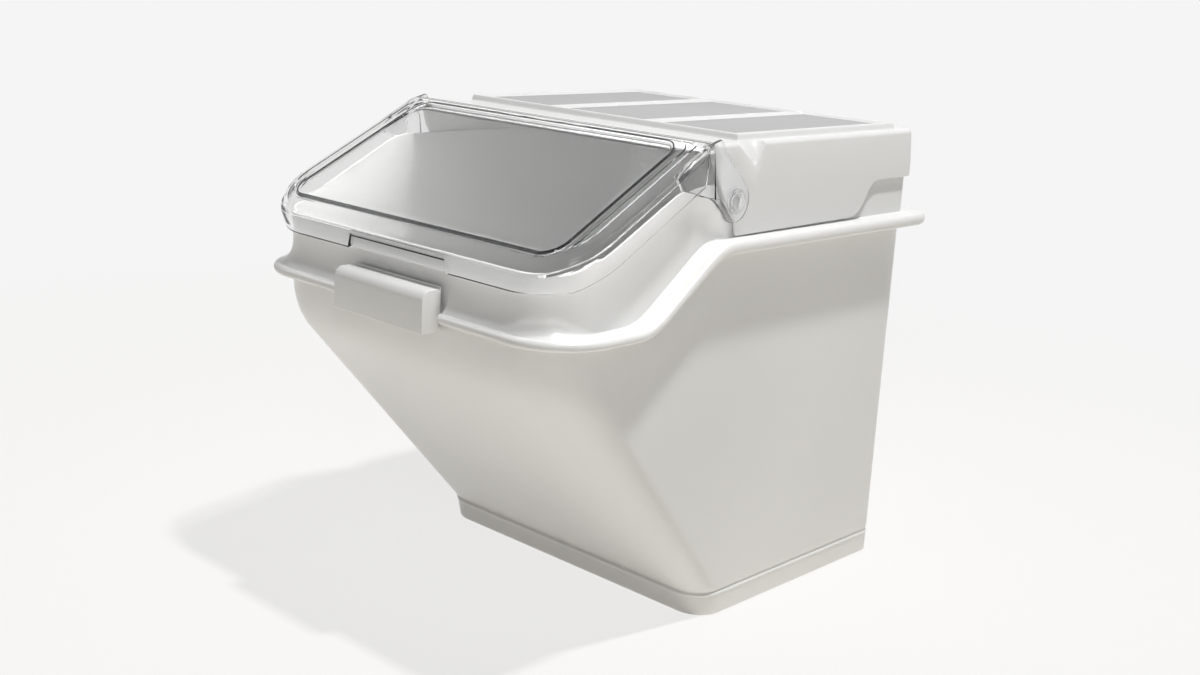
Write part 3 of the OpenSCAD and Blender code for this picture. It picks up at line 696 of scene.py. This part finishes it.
class RICEBIN_OT_cover(bpy.types.Operator):
    """Draws the lift-off rear cover: skirt with lugs and hand notches, shoulders, ribbed top"""
    bl_idname = "ricebin.cover"
    bl_label = "Rear cover"

    def execute(self, context):
        s = context.scene.rice_cover
        wall, half_rib = s.wall / MM, s.rib / MM / 2
        rear = COVER_HIGH.y / MM - SHIFT_Y
        edge = cover_edge(rear)
        x_panel = PLATEAU_X - PANEL_SIDE

        def raised(x, y):
            """Height of the field over the shoulders."""
            ends = ease((y - PLATEAU_Y[0] + LEDGE) / LEDGE)
            ends *= ease((PLATEAU_Y[1] + LEDGE - y) / LEDGE)
            return PLATEAU * ease((PLATEAU_X + LEDGE - abs(x)) / LEDGE) * ends

        def sunk(x, y):
            """1 on the floor of a sunk panel, 0 outside."""
            ends = ease((y - PLATEAU_Y[0] - PANEL_END) / SINK_EDGE)
            ends *= ease((PLATEAU_Y[1] - PANEL_END - y) / SINK_EDGE)
            a = abs(x)
            outer = ease((a - RIB_X - half_rib) / SINK_EDGE) * ease((x_panel - a) / SINK_EDGE)
            return ends * max(ease((RIB_X - half_rib - a) / SINK_EDGE), outer)

        def dimple(x, y):
            """Depth of the pinch on the shoulder, deepest at the outer edge."""
            start, deepest, end = DIMPLE_Y
            deep = ramp(y, start, deepest, 0, 1) if y < deepest else ramp(y, deepest, end, 1, 0)
            wide = COVER_HALF - LEAN - PLATEAU_X - LEDGE
            return s.dimple / MM * unit((abs(x) - PLATEAU_X - LEDGE) / wide) * deep

        def top_z(x, y):
            """Height of the outside, with its rear edge rounded and its front lip tucked down."""
            tail = TAIL_DROP * (1 - sqrt(1 - unit((y - rear + TAIL_R) / TAIL_R) ** 2))
            tuck = TUCK_DROP * unit((LUG_Y - 1 - y) / (TUCK - 1))
            high = COVER_TOP + raised(x, y) - s.sink / MM * sunk(x, y)
            return high - dimple(x, y) - tail - tuck

        def under_z(x, y):
            """Height of the inside, which keeps the wall's thickness at every step of the top."""
            near = (-wall, 0, wall)
            return min(top_z(x + dx, y + dy) for dx in near for dy in near) - wall

        stops = [PLATEAU_X + d for d in OUTER_STOPS]
        stops += steps(PLATEAU_X + LEDGE, PLATEAU_X, 5) + [PLATEAU_X - d for d in FIELD_STOPS]
        stops += [*steps(x_panel, x_panel - SINK_EDGE, 3), *PANEL_STOPS]
        stops += steps(RIB_X + half_rib + SINK_EDGE, RIB_X + half_rib, 3)
        stops += [RIB_X + d for d in RIB_STOPS]
        stops += [*steps(RIB_X - half_rib, RIB_X - half_rib - SINK_EDGE, 3), *MIDDLE_STOPS]

        def half_section(y, t):
            """The right half of a cross-section, inset by t, from the lower edge to the middle."""
            turn = y - rear + COVER_R
            half = COVER_HALF - t
            if turn >= 0:
                half = COVER_HALF - COVER_R + sqrt(max(0, COVER_R ** 2 - turn ** 2)) - t
            low = along(y, edge)
            shoulder = half - LEAN
            high = under_z if t > 0 else top_z
            z = high(shoulder, y)
            points = [(half + d, low + up) for d, up in (LIP_INSIDE if t > 0 else LIP_OUTSIDE)]
            for u in SIDE_SHARES:
                h = mix(low + SIDE_START, z - SIDE_END, u)
                points.append((half - LEAN_SIDE * unit((h - LEAN_Z) / LEAN_RUN), h))
            for a in (radians(d) for d in SHOULDER_TURN):
                points.append((shoulder + SHOULDER_OUT - SHOULDER_R * (1 - cos(a)),
                               z - SHOULDER_R * (1 - sin(a))))
            k = min(1.0, (points[-1][0] - 1) / stops[0])
            return points + [(x * k, high(x * k, y)) for x in stops]

        def section(y, y_in, solid):
            """A whole cross-section: outside, then inside, or a flat bottom where it is solid."""
            outer, inner = half_section(y, 0.0), half_section(y_in, wall)
            n = len(outer)
            if solid:
                low = along(y, edge)
                inner = [((outer[0][0] - END_INSET) * (n - i) / n, low) for i in range(n)]
            path = outer + [(-x, z) for x, z in reversed(outer)]
            path += [(-x, z) for x, z in inner] + inner[::-1]
            return [(x, y, z) for x, z in path]

        inside = rear - wall
        near, far = PLATEAU_Y
        ys = steps(LUG_Y - TUCK, LUG_Y - 1, 4) + [LUG_Y, *LUG_YS]
        ys += steps(near - LEDGE, near, 5) + [near + d for d in NEAR_STOPS] + [*FIELD_YS]
        ys += [y for y, _ in edge if NOTCH_START < y < NOTCH_END] + [*REAR_YS]
        ys += [far - d for d in FAR_STOPS] + steps(far, far + LEDGE, 5)
        corner = steps(rear - COVER_R, inside - REAR_GAP, 7)
        ys += [y for y in corner if y > far + LEDGE + RING_GAP]
        rings = [section(y, y, False) for y in ys]
        rings += [section(inside, inside, False), section(inside + END_STEP, inside, True)]
        rings += [section(rear - d, inside, True) for d in TAIL_BACK]
        bm = loft(rings, capped=False)
        for y_end in (rings[0][0][1], rings[-1][0][1]):
            loop = [v for v in bm.verts
                    if v.is_boundary and abs(v.co.y / MM - SHIFT_Y - y_end) < 0.01]
            edges = [e for e in bm.edges
                     if e.is_boundary and e.verts[0] in loop and e.verts[1] in loop]
            face = bmesh.ops.contextual_create(bm, geom=edges)["faces"]
            bmesh.ops.triangulate(bm, faces=face, ngon_method="EAR_CLIP")
        bmesh.ops.recalc_face_normals(bm, faces=bm.faces)
        for face in bm.faces:
            c = face.calc_center_median()
            if face.normal.z > FLAT and sunk(c.x / MM, c.y / MM - SHIFT_Y) > FLAT:
                face.material_index = 1
        white = polypropylene_moulded("cover_polypropylene", s.white, 0.28)
        # The panels' grain is drawn at 2.5 mm, coarser than the real one, so that it shows
        panel = polypropylene_moulded("cover_panel_textured", s.panel, 0.45, 2.5, 0.0002,
                                      "#A2A2A2")
        finish_piece(bm, "cover_shell", [white, panel], "cover", ["rear_cover"])
        return {"FINISHED"}


# --- Clear lid --------------------------------------------

# Plan of the lid, and how much it narrows to the rear on each side
LID_FRONT, LID_REAR, LID_HALF, LID_TAPER = -211.5, -45.0, 186.5, 7.0
# Drop of the edge and of the skirt's foot, and the foot's least height with its rise to the rear
LID_DROP, SKIRT_DROP, SKIRT_Z, SKIRT_RISE = 3.0, 30.5, 312.0, 0.2
REAR_LIP, REAR_RUN = 4.5, 9.0  # the rear lip and the depth of the zone it has
# The lift notch in the front skirt: height, half width, fade of its ends, and zone in depth, width
LIFT_Z, LIFT_HALF, LIFT_FADE, LIFT_DEEP, LIFT_WIDE = 323.0, 60.0, 3.2, 3.0, 6.0
# Plan of the edge and the skirt: set-back, radii in front and behind, most that is cut from these
EDGE_BACK, EDGE_R, SKIRT_OUT, SKIRT_BACK, SKIRT_R, REAR_R, REAR_R_CUT = 1.8, 50, 2.2, 0.3, 60, 7, 5
# Rings that would fall below the skirt's foot are stacked over it instead
STACK_DROP, STACK_STEP = 20, 0.1
# The window: half width, distance from the rear, radii, and the most that is cut from these
WIN_HALF, WIN_REAR, WIN_R, WIN_R_CUT = 161.0, 12.0, (17, 16), 9
LID_STOPS = (0, 14, 28, 42, 52, 57, 59, 60, 60.8, 61.5, 62.2, 63, 64, 66, 70, 78, 88, 99, 110, 120)
# Rings of the lid. Skirt, from its foot up: inset, stand-out and drop below the lid's plane
SKIRT_OUTSIDE = ((0, 2.0, 11.2), (0, 2.0, 8.2), (0, 1.85, 7.9), (0, 0.9, 7.7), (0, 0.75, 7.3),
                 (0, 0.6, 6.0), (0, 0.35, LID_DROP + 1.2), (0.1, 0.2, LID_DROP + 0.4),
                 (0.6, 0, LID_DROP - 0.7), (1.6, 0, LID_DROP - 1.2), (5, 0, 0.7), (7.5, 0, 0.2))
SHOULDER_EDGE = SKIRT_OUTSIDE[-1]
# The skirt's inside, at the wall's inset: stand-out and drop
SKIRT_INSIDE = ((0.5, 8.6), (0.9, 10.4), (1.5, 12.0))
# Ridges on the shoulder: share of the way in, and height, which fades where the shoulder narrows
RIDGE_FADE, RIDGE_END = 9.0, 0.2
RIDGES = ((0.18, 0), (0.24, 0.8), (0.33, 0.8), (0.38, -0.3), (0.62, -0.3), (0.67, 0.6),
          (0.76, 0.6), (0.82, 0))
# Window: inset from its border, and height
WINDOW_UNDER = ((9, -1.2), (4, -1.2), (1, 0), (-2, 0))
WINDOW_OVER = ((2.2, -0.3), (4.5, -1.2), (9, -1.2))
BORDER_FOOT = (-3, 0)
BORDER_TOP, BORDER_SIDE = 1.2, 1.15  # shares of the border's height, on top and at the side
# The dark line on the window's border is painted shade along the border's step
LINE_OUT, LINE_IN, LINE_THICK = -0.8, 0.3, 0.35  # the dark line on the window's border
# Dark bar of painted shade in the lift notch: size, distance behind the lid's front, height over
# the notch
BAR, BAR_BACK, BAR_UP, BAR_EDGE = (2 * LIFT_HALF - 4, 3.0, 1.3), 1.1, 0.2, 0.4
# The ears: gap to the cover, thickness, radius round the pin, edge radius, least turn of an edge
# that gets it, and then the outline
EAR_GAP, EAR_THICK, EAR_R, EAR_EDGE, EAR_TURN = 0.4, 3.5, 17.5, 0.7, radians(60)
EAR_UNDER = ((-82, 384), (-67, 379.2), (-54.3, 377.3), (-47, 375.4), (-41, 372.3), (-35.4, 367.8),
             (-30.4, 362.5))
EAR_NECK = ((-28.5, 411.5), (-32, 415.4))
EAR_TOP = ((-36, 5.2), (-45.5, 2.6), (-70, 2.6), (-88, 6))  # y, and drop below the lid's plane


class RICEBIN_OT_lid(bpy.types.Operator):
    """Draws the clear lid: window plate with its painted-shade line, stepped skirts, lift notch
    and ears
    """
    bl_idname = "ricebin.lid"
    bl_label = "Clear lid"

    def execute(self, context):
        s = context.scene.rice_lid
        wall, border = s.wall / MM, s.border / MM
        k = LID_TAPER / (LID_REAR - LID_FRONT)

        def lid_plan(half, front, rear, rf, rr):
            """A plan that narrows a little to the rear."""
            return [(x * (1 - k * (y - LID_FRONT) / LID_HALF), y) for x, y in
                    plan(half, front, rear, rf, rr, LID_STOPS)]

        def skirt_low(x, y):
            """Height of the skirt's foot: rear lip, sides, and lift notch in front."""
            if y > LID_REAR - REAR_RUN:
                return lid_plane(y) - REAR_LIP
            side = max(SKIRT_Z + (y - LID_FRONT) * SKIRT_RISE, lid_plane(y) - SKIRT_DROP)
            if y < LID_FRONT + LIFT_DEEP and abs(x) < LIFT_HALF + LIFT_WIDE:
                u = (abs(x) - LIFT_HALF + LIFT_FADE / 2) / LIFT_FADE
                return mix(LIFT_Z, side, ease(u))
            return side

        def lid_ring(t, out, drop):
            """A ring of the plate's edge or the skirt: inset, stand-out, drop below the plane."""
            points = lid_plan(LID_HALF + out - t, LID_FRONT + EDGE_BACK - out + t, LID_REAR - t,
                              EDGE_R - t, REAR_R - min(t, REAR_R_CUT))
            return [(x, y, max(lid_plane(y) - drop,
                               skirt_low(x, y) + (STACK_DROP - drop) * STACK_STEP))
                    for x, y in points]

        def skirt_edge(t, up):
            """A ring at the skirt's foot."""
            points = lid_plan(LID_HALF + SKIRT_OUT - t, LID_FRONT + SKIRT_BACK + t, LID_REAR - t,
                              SKIRT_R - t, REAR_R - min(t, REAR_R_CUT))
            return [(x, y, skirt_low(x, y) + up) for x, y in points]

        def window(inset, up):
            """A ring round the window."""
            cut = min(inset, WIN_R_CUT)
            return [(x, y, lid_plane(y) + up) for x, y in
                    lid_plan(WIN_HALF - inset, inset - LID_NOSE, LID_REAR - WIN_REAR - inset,
                             WIN_R[0] - cut, WIN_R[1] - cut)]

        def ridge(t, up):
            """A ring on the shoulder, a share of the way in from its edge to the border."""
            ring = []
            for (xa, ya, za), (xb, yb, zb) in zip(lid_ring(*SHOULDER_EDGE), window(*BORDER_FOOT)):
                wide = sqrt((xb - xa) ** 2 + (yb - ya) ** 2)
                high = mix(za, zb, t) + up * unit(wide / RIDGE_FADE - RIDGE_END)
                ring.append((mix(xa, xb, t), mix(ya, yb, t), high))
            return ring

        rings = [window(inset, up - wall) for inset, up in WINDOW_UNDER]
        rings += [lid_ring(wall + 1.5, 0, LID_DROP + wall - 1.2),
                  lid_ring(wall, 0, LID_DROP + wall)]
        rings += [lid_ring(wall, out, drop) for out, drop in SKIRT_INSIDE]
        rings += [skirt_edge(t, up) for t, up in ((wall, 3.0), (wall, 0.6), (wall - 0.6, 0.0),
                                                  (0.6, 0.0), (0.0, 0.6), (0.0, 2.0))]
        rings += [lid_ring(*place) for place in SKIRT_OUTSIDE]
        rings += [ridge(t, up) for t, up in RIDGES]
        rings += [window(inset, up) for inset, up in (BORDER_FOOT, (-1.4, 0.1), (-0.9, border),
                                                      (0.6, border * BORDER_TOP), (1.6, border))]
        rings += [window(inset, up) for inset, up in WINDOW_OVER]
        clear = polycarbonate_clear("lid_polycarbonate", s.tint)
        finish_piece(loft(rings), "lid_shell", clear, "lid", ["clear_lid"], sharp=32)

        # The window's line: a dark strip of painted shade along the step of its border
        low_out = window(LINE_OUT, border * BORDER_SIDE)
        low_in = window(LINE_IN, border * BORDER_TOP)
        line = loft([low_out, window(LINE_OUT, border * BORDER_SIDE + LINE_THICK),
                     window(LINE_IN, border * BORDER_TOP + LINE_THICK), low_in, low_out],
                    capped=False)
        close_seam(line)
        finish_piece(line, "window_line", painted_shade_line("lid_window_line", s.line), "lid", sharp=32)

        # The lift notch's line: a dark bar of painted shade along the top of the notch
        bar = bmesh.new()
        add_bar(bar, [d * MM for d in BAR], to_frame((0, LID_FRONT + BAR_BACK, LIFT_Z + BAR_UP)),
                BAR_EDGE * MM, 3)
        finish_piece(bar, "lift_line", painted_shade_line("lid_lift_line", s.line), "lid", sharp=32)

        x_ear = COVER_HALF + EAR_GAP
        outline = [*EAR_UNDER, *arc(HINGE_Y, HINGE_Z, EAR_R, 212, 396, 22), *EAR_NECK]
        outline += [(y, lid_plane(y) - drop) for y, drop in EAR_TOP]
        for side, name in ((1, "ear_right"), (-1, "ear_left")):
            ear = prism([to_frame((side * x_ear, y, z)) for y, z in outline],
                        side * EAR_THICK * MM)
            rim = [e for e in ear.edges
                   if len(e.link_faces) == 2 and e.calc_face_angle(0) > EAR_TURN
                   and abs(e.verts[0].co.x - e.verts[1].co.x) < MM]
            soften(ear, rim, EAR_EDGE * MM)
            finish_piece(ear, name, clear, "lid", sharp=32)
        return {"FINISHED"}


# --- Hinge pins -------------------------------------------

SHANK_R, HEAD_R, HEAD_THICK, CHAMFER = 4.5, 10.0, 2.0, 0.5
# The face of the head: radius, and depth below the rim
HEAD_FACE = ((9.5, 0), (8.2, 0), (7.9, 0.6), (7.0, 0.9), (6.4, 0.6), (6.1, 0.1), (5.0, 0.1),
             (4.7, 0.7), (3.4, 1.2), (1.6, 1.3), (0, 1.3))
PIN_SEGMENTS = 64


class RICEBIN_OT_pins(bpy.types.Operator):
    """Turns the two hinge pins: a shank and a head with recessed rings"""
    bl_idname = "ricebin.pins"
    bl_label = "Hinge pins"

    def execute(self, context):
        s = context.scene.rice_lid
        material = polycarbonate_clear("pin_polycarbonate", s.tint, 0.08)
        tip, face = PIN_LOW.x / MM, PIN_HIGH.x / MM
        neck = face - HEAD_THICK
        profile = [(0, tip), (SHANK_R - 0.2, tip), (SHANK_R, tip + 0.3), (SHANK_R, neck),
                   (HEAD_R - 0.6, neck), (HEAD_R, neck + CHAMFER), (HEAD_R, face - CHAMFER)]
        profile += [(r, face - deep) for r, deep in HEAD_FACE]
        for side, name, node in ((1, "pin_right", "hinge_pin_right"),
                                 (-1, "pin_left", "hinge_pin_left")):
            bm = bmesh.new()
            verts = [bm.verts.new((x * MM, 0, r * MM)) for r, x in profile]
            edges = [bm.edges.new(pair) for pair in zip(verts, verts[1:])]
            bmesh.ops.spin(bm, geom=verts + edges, cent=(0, 0, 0), axis=(1, 0, 0), angle=2 * pi,
                           steps=PIN_SEGMENTS, use_merge=True)
            bmesh.ops.scale(bm, verts=bm.verts, vec=(side, 1, 1))
            bmesh.ops.translate(bm, verts=bm.verts, vec=(0, PIVOT.y * MM, PIVOT.z * MM))
            close_seam(bm)
            finish_piece(bm, name, material, "cover", [node], sharp=30)
        return {"FINISHED"}


# --- Stage ------------------------------------------------

FLOOR_HALF = 30.0  # metres
# The lamps: setting that holds the power, place and size in metres
LAMPS = (("key", (1.364, -1.44, 1.51), 0.5), ("top", (0.7, 0.03, 2.58), 0.12),
         ("back", (-1.3, 1.8, 1.0), 0.8))
LAMP_AIM = Vector((0, 0, 0.2))
# The camera: azimuth, elevation and roll in degrees, and its place in metres along its own axes
CAMERA_TURN = (42.7588, 14.2742, 3.2508)
CAMERA_BACK, CAMERA_RIGHT, CAMERA_UP = 1.386918, 0.0327719, 0.2115743
SENSOR_WIDTH = 36.0


class RICEBIN_OT_stage(bpy.types.Operator):
    """Sets the pale floor, the even light, the three lamps and the camera"""
    bl_idname = "ricebin.stage"
    bl_label = "Stage"

    def execute(self, context):
        s = context.scene.rice_stage
        scene = context.scene
        scene.view_settings.view_transform = "Standard"
        bm = bmesh.new()
        bmesh.ops.create_grid(bm, x_segments=2, y_segments=2, size=FLOOR_HALF)
        mesh = bpy.data.meshes.new("floor")
        bm.to_mesh(mesh)
        bm.free()
        mesh.materials.append(paper_matte("floor_paper", s))
        floor = bpy.data.objects.new("floor", mesh)
        scene.collection.objects.link(floor)

        world = bpy.data.worlds.new("studio")
        world.use_nodes = True
        tree = world.node_tree
        tree.nodes.clear()
        even = add(tree, "ShaderNodeBackground", {"Color": (1, 1, 1, 1), "Strength": s.fill})
        back = add(tree, "ShaderNodeBackground", {"Color": rgba(s.floor), "Strength": 1.0})
        both = add(tree, "ShaderNodeMixShader", i0=seen_ray(tree), i1=even.outputs[0],
                   i2=back.outputs[0])
        add(tree, "ShaderNodeOutputWorld", Surface=both.outputs[0])
        scene.world = world

        for name, place, size in LAMPS:
            lamp = bpy.data.lights.new(name, "AREA")
            lamp.size, lamp.energy = size, getattr(s, name)
            light = bpy.data.objects.new(name, lamp)
            light.location = place
            aim = LAMP_AIM - Vector(place)
            light.rotation_euler = aim.to_track_quat("-Z", "Y").to_euler()
            light.visible_glossy = name != "back"  # no glare on the textured panels
            scene.collection.objects.link(light)

        az, el, roll = (radians(a) for a in CAMERA_TURN)
        back_axis = Vector((sin(az) * cos(el), -cos(az) * cos(el), sin(el)))
        right = Vector((0, 0, 1)).cross(back_axis).normalized()
        up = back_axis.cross(right)
        r = right * cos(roll) + up * sin(roll)
        u = up * cos(roll) - right * sin(roll)
        spot = back_axis * CAMERA_BACK + r * CAMERA_RIGHT + u * CAMERA_UP
        spot += Vector((0, SHIFT_Y * MM, 0))
        data = bpy.data.cameras.new("camera")
        data.lens, data.sensor_width = s.lens, SENSOR_WIDTH
        camera = bpy.data.objects.new("camera", data)
        camera.matrix_world = Matrix((*zip(r, u, back_axis, spot), (0, 0, 0, 1)))
        scene.collection.objects.link(camera)
        scene.camera = camera
        return {"FINISHED"}


class RICEBIN_PT_panel(bpy.types.Panel):
    """Lists the pieces of the rice bin and their settings"""
    bl_idname = "RICEBIN_PT_panel"
    bl_label = "Rice Bin"
    bl_space_type = "VIEW_3D"
    bl_region_type = "UI"
    bl_category = "Rice Bin"

    def draw(self, context):
        for operator, settings in PIECES:
            box = self.layout.box()
            box.operator(operator.bl_idname)
            group = getattr(context.scene, settings)
            for key in group.__annotations__:
                box.prop(group, key)


PIECES = ((RICEBIN_OT_tub, "rice_tub"), (RICEBIN_OT_pull, "rice_pull"),
          (RICEBIN_OT_cover, "rice_cover"), (RICEBIN_OT_lid, "rice_lid"),
          (RICEBIN_OT_pins, "rice_lid"), (RICEBIN_OT_stage, "rice_stage"))
SETTINGS = (("rice_tub", TubSettings), ("rice_pull", PullSettings), ("rice_cover", CoverSettings),
            ("rice_lid", LidSettings), ("rice_stage", StageSettings))


def register():
    for name, group in SETTINGS:
        bpy.utils.register_class(group)
        setattr(bpy.types.Scene, name, PointerProperty(type=group))
    for operator, _ in PIECES:
        bpy.utils.register_class(operator)
    bpy.utils.register_class(RICEBIN_PT_panel)


def unregister():
    bpy.utils.unregister_class(RICEBIN_PT_panel)
    for operator, _ in reversed(PIECES):
        bpy.utils.unregister_class(operator)
    for name, group in reversed(SETTINGS):
        delattr(bpy.types.Scene, name)
        bpy.utils.unregister_class(group)


def main():
    register()
    for operator, _ in PIECES:
        family, name = operator.bl_idname.split(".")
        getattr(getattr(bpy.ops, family), name)()


if __name__ == "__main__":
    main()
